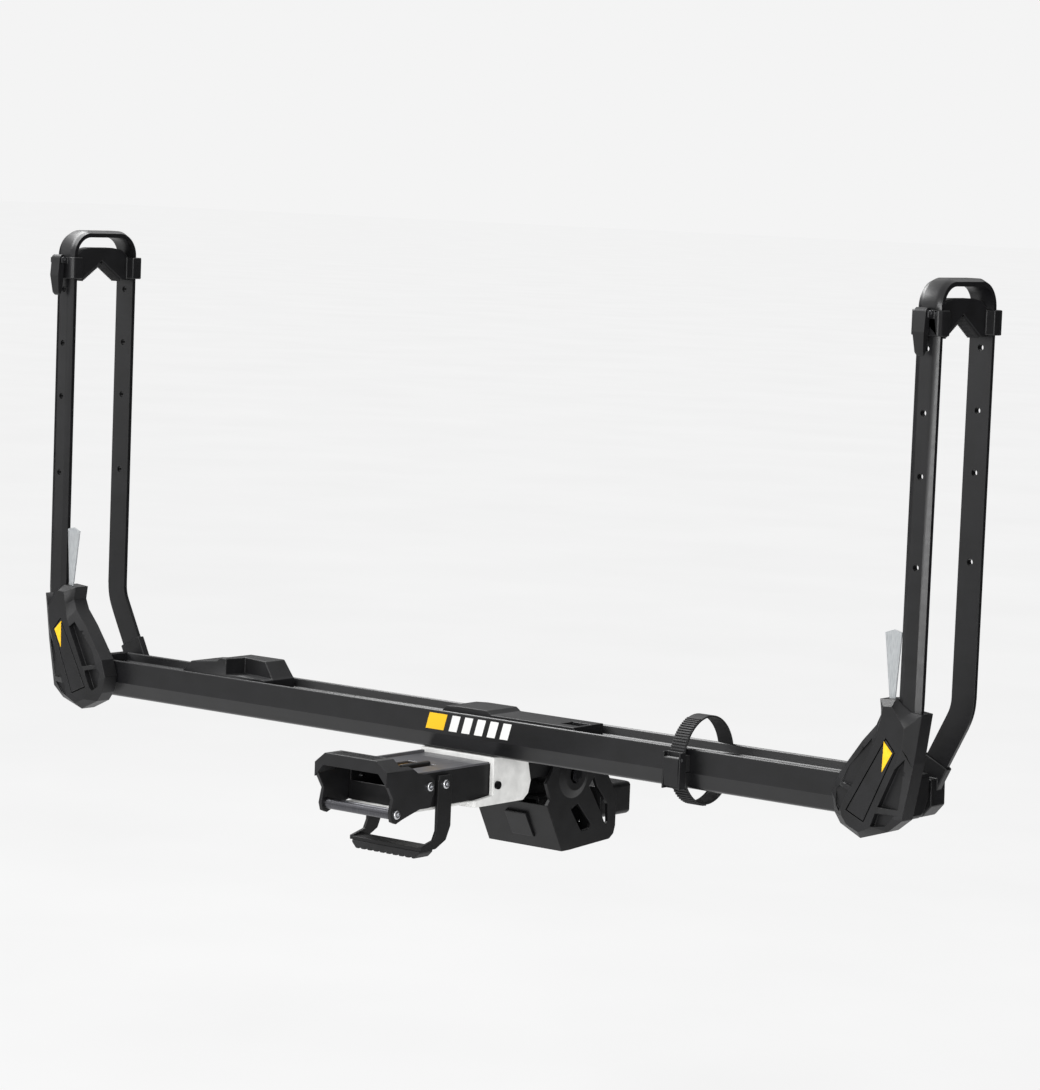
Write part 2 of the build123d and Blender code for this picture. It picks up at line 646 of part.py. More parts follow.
# Outlines in (x, z) from the fold axis.
pod_outline = [(16, 146), (41, 148), (66, 133), (83, 131), (74, 64), (59, -15),
               (38, -32), (-5, -46), (-38, -30), (-48, -16), (-54, 10), (-45, 36),
               (-30, 57), (-9, 86), (12, 110), (19, 126)]
paddle_outline = [(36, 94), (50, 78), (6, -20), (-21, -8)]
insert_outline = [(33.6, 91.2), (47.4, 77), (32.5, 49.5)]
ridge_outline = [(30, 138), (43, 139), (55, 124), (64, 112), (61, 84), (28, -6),
                 (20, -26), (-1, -36), (-20, -28), (-28, -18), (-31, -8), (-23, 10),
                 (-9, 36), (8, 68), (21, 96), (26, 118)]
pod_pockets = [[(10, 92), (16, 84), (-15, 24), (-36, 28), (-26, 50)],
               [(-20, 18), (-31, -6), (-35, -13), (-43, -6), (-45, 16), (-39, 22)],
               [(64, 70), (52, 56), (28, 2), (54, 0)],
               [(24, -7), (18, -26), (36, -24), (50, -8)]]


def pod_plane(y):
    return Plane(origin=(0, y, 0), x_dir=(1, 0, 0), z_dir=(0, -1, 0))


def front_pod():
    """Knuckle moulded around the front leg: gem-shaped, with a raised ridge for the paddle."""
    shoulder = pod_front - 13
    base = prism_y(from_axis(pod_outline), -shoulder, -pod_back)
    foot = pod_plane(-shoulder) * outline_face(pod_outline)
    crest = pod_plane(-pod_front) * outline_face(ridge_outline)
    ridge = loft([foot, crest], ruled=True)
    part = base + ridge
    for pocket in pod_pockets:
        part -= prism_y(from_axis(pocket), -pod_front - 1, -leg_out - 3.5)
    seat = pod_plane(-pod_front + paddle_thick + paddle_recess)
    part -= extrude(seat * grown(paddle_outline, paddle_gap), paddle_thick + 5)
    part -= trunnions(running_gap)
    part -= lower_leg(pocket_gap)
    part -= extrude(leg_plane(bend_z + 60) * make_face(leg_section(pocket_gap)), 60)
    ax = (arm_pivot_x, -leg_out - pocket_gap, -arm_pivot_drop)
    part -= rod(bush_r, ax, (0, 1, 0), leg_out)
    ratchet_y = -pod_back - ratchet_thick - pawl_gap
    part -= rod(ratchet_r + ratchet_gap, (arm_pivot_x, ratchet_y, -arm_pivot_drop),
                (0, 1, 0), ratchet_thick + 1)
    part -= pawl_box(pawl_gap, pawl_travel + 3)
    return part - arm_fin()


def outline_face(points):
    """Face of an outline given from the fold axis."""
    return make_face(Polyline(*from_axis(points), close=True))


def grown(points, gap):
    """The same face grown by a gap, corners kept sharp."""
    return offset(outline_face(points), gap, kind=Kind.INTERSECTION)


def pawl_box(extra, travel):
    """Pawl's slot (or the pawl itself) along the leaning leg, above the ratchet plate."""
    start = arm_axis - leg_dir * (ratchet_r + 0.6 - extra)
    plane = Plane(origin=(start.X, -pod_back, start.Z), x_dir=(cos(lean), 0, -sin(lean)),
                  z_dir=tuple(-leg_dir))
    half = pawl_width / 2 + extra
    depth = ratchet_thick - 1 + extra
    shape = Polyline((-half, extra), (-half, -depth), (half, -depth), (half, extra), close=True)
    return extrude(plane * make_face(shape), pawl_length + travel + 2 * extra)


def trunnions(extra):
    """Hinge studs of the paddle, in line across its top end."""
    x, z = from_axis([paddle_hinge])[0]
    across = Vector(cos(lean), 0, -sin(lean))
    reach = trunnion_reach + extra
    start = Vector(x, -pod_front + paddle_hinge_in, z) - across * reach
    return rod(trunnion_r + extra, tuple(start), tuple(across), 2 * reach)


def paddle():
    """Release paddle let in to the ridge."""
    part = prism_y(from_axis(paddle_outline), -pod_front - 0.5, -pod_front - 0.5 + paddle_thick)
    part = chamfer(part.faces().sort_by(Axis.Y)[0].edges(), 1)
    part += trunnions(0)
    return part - extrude(pod_plane(-pod_front + 2) * grown(insert_outline, 0.1), 5)


def paddle_insert():
    """Bright accent plate on the paddle."""
    return prism_y(from_axis(insert_outline), -pod_front - 0.9, -pod_front + 2)


def rear_pod():
    """Sleeve and housing around the rear leg's foot."""
    outline = [(-25, 27), (28, 25), (29, -12), (15, -28), (-7, -34), (-38, -28),
               (-52, -6), (-50, 16)]
    body = prism_y(from_axis(outline), pod_back, rear_pod_depth)
    body = chamfer(body.faces().sort_by(Axis.Y)[-1].edges(), 5)
    sleeve = mirror(lower_leg(sleeve_wall), about=Plane.XZ)
    reach = 2 * leg_out
    behind = block(arm_pivot_x - reach, arm_pivot_x + reach, pod_back, reach, -reach, arm_top)
    mouth = Pos(arm_pivot_x, 0, -arm_pivot_drop) * Rot(0, arm_lean, 0)
    sleeve = (sleeve & behind) - mouth * block(-reach, reach, 0, reach, sleeve_length, arm_top)
    part = body + sleeve
    part -= mirror(lower_leg(pocket_gap), about=Plane.XZ)
    part -= rod(bush_r, (arm_pivot_x, pod_back - 1, -arm_pivot_drop), (0, 1, 0),
                leg_out - pod_back + 1 + pocket_gap)
    return part


def arm_fin():
    """Clear blade beside the front leg, stood in the pod's lip."""
    y = -leg_out + fin_inset
    blade = [(28.5, 138), (35.5, 138), (42, 237), (29, 240), (16, 235)]
    return prism_y(from_axis(blade), y, y + fin_thick)


# ---- yoke --------------------------------------------------------------------------------
def yoke():
    """Clamp bridge between the legs: collars on both legs and a notch for the tyre."""
    half = leg_in - slide_gap
    arch = [(-half, yoke_foot), (-notch_half, yoke_foot), (0, yoke_foot + notch_rise),
            (notch_half, yoke_foot), (half, yoke_foot), (half, collar_top), (half - 18, yoke_top - 3),
            (24, yoke_top), (-24, yoke_top), (-half + 18, yoke_top - 3), (-half, collar_top)]
    part = prism_x(arch, arm_spread - bridge_half, arm_spread + bridge_half)
    gap = leg_width / 2 + slide_gap
    wide = gap + collar_wall
    ring = block(arm_spread - wide, arm_spread + wide, -yoke_out, -half + 6,
                 yoke_foot + 2, collar_top)
    ring = chamfer(ring.edges().filter_by(Axis.Z).group_by(Axis.Y)[0], 5)
    ring -= block(arm_spread - gap, arm_spread + gap, -leg_out - slide_gap, -half,
                  yoke_foot, collar_top + 1)
    part += ring + mirror(ring, about=Plane.XZ)
    inner = lever_width / 2 + lever_ear_gap
    for x in (arm_spread - inner - lever_ear, arm_spread + inner):
        part += block(x, x + lever_ear, lever_y - 5, -yoke_out + 1, lever_z - 7, lever_z + 2)
    part -= rod(lever_pivot_r, (arm_spread - lever_width, lever_y, lever_z), (1, 0, 0),
                2 * lever_width)
    return part + rod(boss_r, (arm_spread, yoke_out - 1, yoke_foot + 24), (0, 1, 0), 8)


def yoke_pads():
    """Ribbed rubber faces of the notch."""
    slope = (notch_half ** 2 + notch_rise ** 2) ** 0.5
    x0, x1 = arm_spread - bridge_half + 1, arm_spread + bridge_half - 1
    dy = pad_thick * notch_rise / slope
    dz = pad_thick * notch_half / slope
    low_y, low_z = -notch_half, yoke_foot
    face = [(low_y + 2, low_z + 2 * notch_rise / notch_half),
            (-dy - 0.6, yoke_foot + notch_rise - (dy + 0.6) * notch_rise / notch_half),
            (-0.6, yoke_foot + notch_rise - (dy + 0.6) * notch_rise / notch_half - dz),
            (low_y + 2 + dy, low_z + 2 * notch_rise / notch_half - dz)]
    pad = prism_x(face, x0, x1)
    return pad + mirror(pad, about=Plane.XZ)


def yoke_lever():
    """Release lever that hangs in front of the collar."""
    y, z = lever_y, lever_z
    half = lever_width / 2
    part = rod(6.4, (arm_spread - half, y, z), (1, 0, 0), 2 * half)
    part += prism_x([(y - 6.4, z), (y + 4.5, z), (y + 4.5, z - 12), (y + 3, z - lever_length + 6),
                     (y - 1, z - lever_length), (y - 5, z - lever_length + 4), (y - 9, z - 26)],
                    arm_spread - half, arm_spread + half)
    taper = prism_y([(arm_spread + half + 1, z - 14), (arm_spread + half + 1, z - 90),
                     (arm_spread + half - 6, z - 90)], y - 30, y + 30)
    part -= taper
    part -= prism_y([(arm_spread - half - 1, z - 14), (arm_spread - half - 1, z - 90),
                     (arm_spread - half + 6, z - 90)], y - 30, y + 30)
    return part - rod(lever_pivot_r + running_gap, (arm_spread - 20, y, z), (1, 0, 0), 40)


def lever_pin():
    half = lever_width / 2 + lever_ear_gap + lever_ear
    return rod(lever_pivot_r, (arm_spread - half, lever_y, lever_z), (1, 0, 0), 2 * half)


# ---- strap -------------------------------------------------------------------------------
def strap_band():
    """Closed ladder strap round the beam; teeth on its front quarter."""
    x0 = strap_x - strap_width / 2
    plane = Plane(origin=(x0, 0, strap_z), x_dir=(0, 1, 0), z_dir=(1, 0, 0))
    outer = extrude(plane * Ellipse(strap_half_y, strap_half_z), strap_width)
    hole = extrude(plane * Ellipse(strap_half_y - strap_thick, strap_half_z - strap_thick),
                   strap_width)
    return outer - hole


def strap_shoe():
    """Rubber foot between the strap and the beam's front face."""
    half = strap_width / 2
    inner = strap_half_y - strap_thick
    shoe = block(strap_x - half, strap_x + half, -inner, -beam_half - running_gap, -32, -9)
    ring = Plane(origin=(strap_x - half - 1, 0, strap_z), x_dir=(0, 1, 0), z_dir=(1, 0, 0))
    return shoe & extrude(ring * Ellipse(inner, strap_half_z - strap_thick), strap_width + 2)


def buckle_base():
    """Buckle body on the strap's outer face."""
    half = strap_width / 2
    back = block(strap_x - half, strap_x + half, -strap_half_y - 3, -strap_half_y, -56, -4)
    cheek = block(strap_x + half, strap_x + half + 2.5, -strap_half_y - 12, -strap_half_y + 2,
                  -56, -4)
    other = block(strap_x - half - 2.5, strap_x - half, -strap_half_y - 12, -strap_half_y + 2,
                  -56, -4)
    part = back + cheek + other
    return part - rod(2.5, (strap_x - 20, -strap_half_y - 8, -14), (1, 0, 0), 40)


def buckle_lever():
    half = strap_width / 2 - 0.4
    y = -strap_half_y - 8
    part = rod(4.2, (strap_x - half, y, -14), (1, 0, 0), 2 * half)
    part += prism_x([(y - 4.2, -14), (y + 4.2, -14), (y + 1.5, -30), (y + 1.5, -50),
                     (y - 3, -52), (y - 4.5, -34)], strap_x - half, strap_x + half)
    return part - rod(2.5 + running_gap, (strap_x - 20, y, -14), (1, 0, 0), 40)


def buckle_pin():
    half = strap_width / 2 + 2.5
    return rod(2.5, (strap_x - half, -strap_half_y - 8, -14), (1, 0, 0), 2 * half)


# ---- fasteners ---------------------------------------------------------------------------
def casting_screws():
    """Two bolts down through the beam's floor and two side bolts in the casting."""
    foot = spine_top - 6
    shank = screw_r - running_gap
    head_z = -beam_depth + beam_wall
    down = rod(shank, (fixing_x, 0, foot), (0, 0, 1), head_z - foot)
    head = rod(screw_head_r, (fixing_x, 0, head_z), (0, 0, 1), 4)
    side_y, side_z = side_bolt
    side = rod(shank, (cast_half - 7, side_y, side_z), (1, 0, 0), 7)
    cap = rod(6, (cast_half, side_y, side_z), (1, 0, 0), 4)
    return both(down + head) + both(side + cap)


# ---- write every node --------------------------------------------------------------------
def write_all():
    os.makedirs("parts", exist_ok=True)
    single = {
        "beam": beam(), "wheel_block": wheel_block(), "centre_cover": centre_cover(),
        "spine_channel": spine_channel(), "spine_casting": spine_casting(),
        "box_lid": box_lid(), "latch_slide": latch_slide(),
        "latch_bolt": latch_bolt(), "latch_guide": latch_guide(),
        "latch_spring": latch_spring(), "top_slider": top_slider(),
        "handle_frame": handle_frame(), "handle_roller": handle_roller(),
        "roller_screws": roller_screws(),
        "lever_screws": lever_screws(),
        "foot_loop": foot_loop(), "foot_tread": foot_tread(),
        "mount_bracket": mount_bracket(), "stinger_supports": stinger_supports(),
        "stinger": stinger(), "stinger_plug": stinger_plug(), "front_plug": front_plug(),
        "index_cam": index_cam(),
        "pivot_bolt": pivot_bolt(), "pivot_nut": pivot_nut(),
        "pivot_washers": pivot_washers(), "pivot_bushes": pivot_bushes(),
        "strap_band": strap_band(), "strap_shoe": strap_shoe(),
        "buckle_base": buckle_base(), "buckle_lever": buckle_lever(),
        "buckle_pin": buckle_pin(), "casting_screws": casting_screws(),
        "end_caps": both(end_cap()), "arm_axles": both(arm_axle()),
        "ratchet_plates": both(ratchet_plate()),
    }
    pairs = {
        "arm_frame": arm_frame(), "axle_bushes": axle_bushes(), "front_pod": front_pod(),
        "rear_pod": rear_pod(), "arm_fin": arm_fin(), "paddle": paddle(),
        "paddle_insert": paddle_insert(), "pawl": pawl_box(0, 0), "yoke": yoke(),
        "yoke_pads": yoke_pads(), "yoke_lever": yoke_lever(), "lever_pin": lever_pin(),
    }
    for name, part in single.items():
        save(name, part)
    for name, part in pairs.items():
        save_pair(name, part)


write_all()
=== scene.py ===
import json
import math

import bmesh
import bpy
from bpy.props import FloatProperty, FloatVectorProperty, IntProperty, PointerProperty
from bpy.types import Operator, Panel, PropertyGroup
from mathutils import Matrix, Vector


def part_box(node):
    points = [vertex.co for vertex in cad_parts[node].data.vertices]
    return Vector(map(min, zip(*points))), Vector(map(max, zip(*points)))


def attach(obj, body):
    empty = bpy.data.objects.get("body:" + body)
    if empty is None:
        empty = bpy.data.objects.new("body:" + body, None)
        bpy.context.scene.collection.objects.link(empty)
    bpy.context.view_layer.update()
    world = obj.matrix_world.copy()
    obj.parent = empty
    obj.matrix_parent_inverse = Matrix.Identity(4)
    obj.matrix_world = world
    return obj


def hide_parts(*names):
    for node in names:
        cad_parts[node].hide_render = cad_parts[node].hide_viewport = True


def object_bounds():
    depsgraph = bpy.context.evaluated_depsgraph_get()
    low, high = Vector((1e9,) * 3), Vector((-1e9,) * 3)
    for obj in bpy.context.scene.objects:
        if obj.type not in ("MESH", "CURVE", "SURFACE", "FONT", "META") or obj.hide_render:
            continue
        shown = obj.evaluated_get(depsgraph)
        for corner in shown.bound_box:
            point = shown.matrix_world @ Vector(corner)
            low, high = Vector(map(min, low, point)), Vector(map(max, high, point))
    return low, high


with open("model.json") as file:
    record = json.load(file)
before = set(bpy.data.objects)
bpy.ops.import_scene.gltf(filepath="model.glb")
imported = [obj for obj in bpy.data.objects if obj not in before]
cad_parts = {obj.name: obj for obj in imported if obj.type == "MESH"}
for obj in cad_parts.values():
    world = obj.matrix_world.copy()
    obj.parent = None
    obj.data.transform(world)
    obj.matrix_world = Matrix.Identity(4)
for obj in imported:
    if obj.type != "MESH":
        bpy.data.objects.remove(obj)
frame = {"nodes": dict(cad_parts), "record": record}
CAD_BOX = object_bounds()

bl_info = {
    "name": "Hitch Bike Rack Looks",
    "version": (1, 0, 0),
    "blender": (4, 5, 0),
    "location": "View3D > Sidebar > Bike Rack",
    "description": "Dresses the rack's frame with finished pieces, materials and a studio",
    "category": "Object",
}

MM = 0.001
NODES = frame["nodes"]
BODY_OF = {n: b for b, members in frame["record"]["behaviour"]["bodies"].items() for n in members}
SLOT_OF = {s["node"]: s["material_slot"] for s in frame["record"]["subparts"]}
SIDES = ("left", "right")

# where most values of a noise pattern lie
NOISE_LOW, NOISE_HIGH = 0.3, 0.7

# edges
EDGE_SEGMENTS = 2
SHARP_ANGLE = 18            # degrees; keeps the legs' shallow bevels as flats
WIRE_ANGLE = 40             # degrees; the same for wound wire
ROOM_PER_WIDTH = 2.3        # room beside an edge that a full bevel needs, in bevel widths
LEAST_SHARE = 0.2           # a bevel below this share of the full width is left out
OVERHANG = 0.05             # share of an edge's length past its ends that still counts
FLAT_WEIGHT = 80            # how strongly the large faces hold the shading
MERGE_DISTANCE = 0.005 * MM
FLAT_ANGLE = 0.6            # degrees; faces that differ by less are one flat

# printed stripes on the beam, in millimetres: left end and width
YELLOW_STRIPE = (-52, 34)
WHITE_STRIPES = tuple((-8 + 24 * i, 15) for i in range(5))
STRIPE_FOOT, STRIPE_HEAD = 29 * MM, 5 * MM      # below the beam's top edge
STRIPE_LEAN = 7 * MM
STRIPE_FILM = 0.25 * MM

# ribs of the yoke pads
RIB_SIZE = (1.4 * MM, 2.0 * MM)                 # along the slope, out of it
RIB_SIDE_GAP = 1 * MM                           # left free of the pad's width, in all
RIB_FOOT_INSET = 2.2 * MM
RIB_PEAK_OFFSET = 0.6 * MM
RIB_PEAK_DROP = 3.35 * MM
RIB_EDGE = 0.3 * MM

# latch spring
WIRE_RADIUS = 1.3 * MM
COIL_INSET = 1.5 * MM

# strap teeth: name, first and last angle round the band in degrees, times the tooth count
TOOTH_RUNS = (("upper", 112, 194, 2), ("lower", 216, 268, 1))
TOOTH_LIFT = 0.4 * MM
TOOTH_SIZE = (2.4 * MM, 2.2 * MM)               # out of the band, along it
TOOTH_SIDE_GAP = 1.5 * MM
TOOTH_EDGE = 0.25 * MM

# black cloths that only reflections see: radius, first and last angle in degrees,
# foot and head from the hitch pin hole
FLAG_STEPS = 32
WIDE_FLAG = (4.2, 0, 360, -0.2, 1.7)
RIGHT_FLAG = (1.55, -8, 118)
RIGHT_FLAG_HEAD = 1.6
RIGHT_FLAG_FOOT = 0.02                          # above the floor

# camera
CAMERA_PLACE = (3.45106, -4.58705, 0.95434)
CAMERA_ANGLES = (38.3215, -5.6265, -2.2087)     # heading, pitch and roll, in degrees
CAMERA_LENS, CAMERA_SENSOR = 123.76, 36.0
CAMERA_REACH = 300          # farthest that it sees
FLOOR_SIZE = 160


# ---- colours and node helper ---------------------------------------------------------------
def linear(code):
    """sRGB hex to linear RGBA."""
    values = [int(code[i:i + 2], 16) / 255 for i in (1, 3, 5)]
    return tuple(v / 12.92 if v <= 0.04045 else ((v + 0.055) / 1.055) ** 2.4 for v in values) + (1,)


def add(tree, kind, settings=(), links=()):
    """A node with its settings (properties or sockets) and the links into it."""
    node = tree.nodes.new(kind)
    for name, value in dict(settings).items():
        if isinstance(name, str) and hasattr(node, name):
            setattr(node, name, value)
        else:
            node.inputs[name].default_value = value
    for name, source in dict(links).items():
        tree.links.new(source, node.inputs[name])
    return node


def new_material(name):
    """An empty node material with its tree, its Object coordinates and its output."""
    material = bpy.data.materials.new(name)
    material.use_nodes = True
    tree = material.node_tree
    tree.nodes.clear()
    place = add(tree, "ShaderNodeTexCoord").outputs["Object"]
    return material, tree, place


def close_material(tree, shader):
    """The shader as the material's surface."""
    add(tree, "ShaderNodeOutputMaterial", links={"Surface": shader.outputs["BSDF"]})


def grain(tree, place, size, stretch=(1, 1, 1), detail=3.0, rough=0.55):
    """Noise whose spots are size metres across, drawn out along an axis by stretch."""
    scale = tuple(1 / s for s in stretch)
    mapped = add(tree, "ShaderNodeMapping", {"Scale": scale}, {"Vector": place})
    return add(tree, "ShaderNodeTexNoise",
               {"Scale": 1 / size, "Detail": detail, "Roughness": rough},
               {"Vector": mapped.outputs["Vector"]}).outputs["Fac"]


def spread(tree, source, low, high):
    """A noise pattern carried to the range low to high."""
    return add(tree, "ShaderNodeMapRange",
               {"From Min": NOISE_LOW, "From Max": NOISE_HIGH, "To Min": low, "To Max": high},
               {"Value": source}).outputs["Result"]


def tint(tree, source, dark, light):
    """Two hex colours mixed by a pattern."""
    ramp = add(tree, "ShaderNodeValToRGB", links={"Fac": source})
    for stop, place, code in zip(ramp.color_ramp.elements, (NOISE_LOW, NOISE_HIGH),
                                 (dark, light)):
        stop.position = place
        stop.color = linear(code)
    return ramp.outputs["Color"]


def relief(tree, source, depth, strength):
    """A pattern as raised detail, depth metres high."""
    return add(tree, "ShaderNodeBump", {"Distance": depth, "Strength": strength},
               {"Height": source}).outputs["Normal"]


# ---- materials -----------------------------------------------------------------------------
def anodised_aluminium():
    """Extruded aluminium, black anodised: faint die lines along the run give a silky sheen.
    The lines are drawn far coarser than the real ones, which wouldn't show."""
    material, tree, place = new_material("black_anodised_extrusion")
    lines = grain(tree, place, 8 * MM, (60, 1, 1), 2.0)
    cloud = grain(tree, place, 40 * MM)
    shader = add(tree, "ShaderNodeBsdfPrincipled",
                 {"Metallic": 0.0, "IOR": 1.5, "Specular IOR Level": 0.4,
                  "Coat Weight": 0.1, "Coat Roughness": 0.22},
                 {"Base Color": tint(tree, cloud, "#0b0b0c", "#121214"),
                  "Roughness": spread(tree, lines, 0.34, 0.40),
                  "Normal": relief(tree, lines, 0.01 * MM, 0.15)})
    close_material(tree, shader)
    return material


def glass_filled_nylon():
    """Injection moulded glass-filled nylon: fine spark-eroded grain, soft broad highlights."""
    material, tree, place = new_material("black_moulded_nylon")
    fine = grain(tree, place, 0.9 * MM, detail=4.0)
    flow = grain(tree, place, 30 * MM)
    shader = add(tree, "ShaderNodeBsdfPrincipled",
                 {"IOR": 1.53, "Specular IOR Level": 0.38},
                 {"Base Color": tint(tree, flow, "#0c0c0d", "#141416"),
                  "Roughness": spread(tree, fine, 0.36, 0.52),
                  "Normal": relief(tree, fine, 0.09 * MM, 0.5)})
    close_material(tree, shader)
    return material


def powder_coat():
    """Polyester powder baked on steel: a slight orange peel breaks the highlights."""
    material, tree, place = new_material("black_powder_coat")
    skin = grain(tree, place, 1.6 * MM, detail=2.0)
    cloud = grain(tree, place, 25 * MM)
    shader = add(tree, "ShaderNodeBsdfPrincipled",
                 {"IOR": 1.5, "Specular IOR Level": 0.32},
                 {"Base Color": tint(tree, cloud, "#0d0d0e", "#151516"),
                  "Roughness": spread(tree, skin, 0.34, 0.46),
                  "Normal": relief(tree, skin, 0.08 * MM, 0.45)})
    close_material(tree, shader)
    return material


def sand_cast_white():
    """White powder coat over a sand-cast skin: low dimples and slightly greyed hollows."""
    material, tree, place = new_material("white_coated_casting")
    sand = grain(tree, place, 1.8 * MM, detail=5.0, rough=0.65)
    cloud = grain(tree, place, 18 * MM)
    shader = add(tree, "ShaderNodeBsdfPrincipled",
                 {"IOR": 1.5, "Specular IOR Level": 0.4},
                 {"Base Color": tint(tree, cloud, "#cbcbc9", "#dfdfdd"),
                  "Roughness": spread(tree, sand, 0.42, 0.6),
                  "Normal": relief(tree, sand, 0.16 * MM, 0.55)})
    close_material(tree, shader)
    return material


def gloss_polypropylene():
    """Yellow gloss polypropylene: saturated, with a soft moulded sheen and faint sink marks."""
    material, tree, place = new_material("yellow_gloss_moulding")
    sink = grain(tree, place, 7 * MM)
    shader = add(tree, "ShaderNodeBsdfPrincipled",
                 {"IOR": 1.49, "Specular IOR Level": 0.4},
                 {"Base Color": tint(tree, sink, "#dfae0c", "#ecc226"),
                  "Roughness": spread(tree, sink, 0.24, 0.34),
                  "Normal": relief(tree, sink, 0.05 * MM, 0.4)})
    close_material(tree, shader)
    return material


def satin_lid():
    """Satin painted sheet: a cool grey that catches a long soft gradient."""
    material, tree, place = new_material("grey_satin_sheet")
    lines = grain(tree, place, 0.9 * MM, (1, 40, 1), 2.0)
    shader = add(tree, "ShaderNodeBsdfPrincipled",
                 {"Metallic": 0.25, "Coat Weight": 0.2},
                 {"Base Color": tint(tree, lines, "#46464a", "#5a5a5d"),
                  "Roughness": spread(tree, lines, 0.3, 0.42),
                  "Normal": relief(tree, lines, 0.02 * MM, 0.4)})
    close_material(tree, shader)
    return material


def passivated_zinc():
    """Zinc plate with yellow chromate: patchy dull gold that drifts to brown."""
    material, tree, place = new_material("gold_passivated_zinc")
    patch = grain(tree, place, 9 * MM, detail=5.0, rough=0.6)
    fine = grain(tree, place, 0.8 * MM)
    shader = add(tree, "ShaderNodeBsdfPrincipled", {"Metallic": 1.0},
                 {"Base Color": tint(tree, patch, "#7c571f", "#c29a4c"),
                  "Roughness": spread(tree, fine, 0.22, 0.38),
                  "Normal": relief(tree, fine, 0.02 * MM, 0.4)})
    close_material(tree, shader)
    return material


def bare_metal(name, dark, light, size=0.7, rough=(0.16, 0.3), stretch=(1, 1, 1)):
    """Bare or plated metal: sharp reflections dulled by fine handling and turning marks."""
    material, tree, place = new_material(name)
    marks = grain(tree, place, size * MM, stretch, 3.0)
    shader = add(tree, "ShaderNodeBsdfPrincipled", {"Metallic": 1.0},
                 {"Base Color": tint(tree, marks, dark, light),
                  "Roughness": spread(tree, marks, *rough),
                  "Normal": relief(tree, marks, 0.012 * MM, 0.4)})
    close_material(tree, shader)
    return material


def soft_rubber(name, dark, light, rough, size=0.6):
    """Cured rubber or polyurethane: matte, with a dusty bloom and a fine skin."""
    material, tree, place = new_material(name)
    skin = grain(tree, place, size * MM, detail=4.0)
    bloom = grain(tree, place, 12 * MM)
    shader = add(tree, "ShaderNodeBsdfPrincipled",
                 {"IOR": 1.52, "Specular IOR Level": 0.4},
                 {"Base Color": tint(tree, bloom, dark, light),
                  "Roughness": spread(tree, skin, *rough),
                  "Normal": relief(tree, skin, 0.07 * MM, 0.5)})
    close_material(tree, shader)
    return material


def frosted_polycarbonate():
    """Frosted clear polycarbonate: passes light but blurs it, so the blade reads milky grey."""
    material, tree, place = new_material("frosted_clear_blade")
    frost = grain(tree, place, 0.8 * MM, (1, 1, 12), 3.0)
    shader = add(tree, "ShaderNodeBsdfPrincipled",
                 {"IOR": 1.58, "Transmission Weight": 0.6},
                 {"Base Color": tint(tree, frost, "#9fa3a6", "#c9cccd"),
                  "Roughness": spread(tree, frost, 0.28, 0.45),
                  "Normal": relief(tree, frost, 0.05 * MM, 0.4)})
    close_material(tree, shader)
    return material


def printed_ink(name, dark, light):
    """Pad-printed ink: a thin even film whose edge follows the metal below it."""
    material, tree, place = new_material(name)
    film = grain(tree, place, 1.1 * MM)
    shader = add(tree, "ShaderNodeBsdfPrincipled", {"IOR": 1.48, "Specular IOR Level": 0.35},
                 {"Base Color": tint(tree, film, dark, light),
                  "Roughness": spread(tree, film, 0.35, 0.5)})
    close_material(tree, shader)
    return material


def pale_studio_paper():
    """Back-lit studio paper: pale, matte and even, with hardly any shadow on it."""
    material, tree, place = new_material("studio_paper")
    fibre = grain(tree, place, 0.8)
    shader = add(tree, "ShaderNodeBsdfPrincipled",
                 {"Specular IOR Level": 0.0, "Emission Strength": 0.955},
                 {"Base Color": tint(tree, fibre, "#343434", "#3a3a3a"),
                  "Emission Color": tint(tree, fibre, "#f2f2f2", "#f4f4f4"),
                  "Roughness": spread(tree, fibre, 0.85, 0.95)})
    close_material(tree, shader)
    return material


def build_finishes():
    """One Blender material for each material slot of the record."""
    return {
        "black_powder_coat": powder_coat(),
        "black_anodised": anodised_aluminium(),
        "black_moulding": glass_filled_nylon(),
        "yellow_insert": gloss_polypropylene(),
        "white_casting": sand_cast_white(),
        "grey_lid": satin_lid(),
        "zinc_gold": passivated_zinc(),
        "roller_grey": bare_metal("grey_turned_roller", "#4c4c4f", "#66666a", 0.6, (0.26, 0.4),
                                  (1, 20, 20)),
        "rubber": soft_rubber("black_rubber", "#131314", "#1c1c1d", (0.55, 0.72)),
        "clear_blade": frosted_polycarbonate(),
        "bright_steel": bare_metal("bright_zinc_steel", "#b9babd", "#dcdde0"),
        "black_screws": bare_metal("black_oxide_steel", "#1b1b1d", "#2c2c2f", 0.8, (0.32, 0.46)),
        "bronze_bush": bare_metal("sintered_bronze", "#7a5527", "#a37a3f", 0.5, (0.4, 0.55)),
    }


FINISHES = {}


# ---- shape helpers -------------------------------------------------------------------------
def mesh_object(name, mesh, slot, finish=None):
    """Links a mesh as a piece of the given slot, with the slot's finish or another."""
    piece = bpy.data.objects.new(name, mesh)
    bpy.context.scene.collection.objects.link(piece)
    mesh.materials.clear()
    mesh.materials.append(FINISHES[finish or slot])
    return piece


def clearance(edge, face):
    """Room on a face beside an edge before the next corner or hole."""
    start, run = edge.verts[0].co, edge.verts[1].co - edge.verts[0].co
    length = run.length
    nearest = math.inf
    for vert in face.verts:
        if vert not in edge.verts:
            along = (vert.co - start).dot(run) / length
            if -OVERHANG * length <= along <= (1 + OVERHANG) * length:
                nearest = min(nearest, (vert.co - start - run * (along / length)).length)
    return nearest


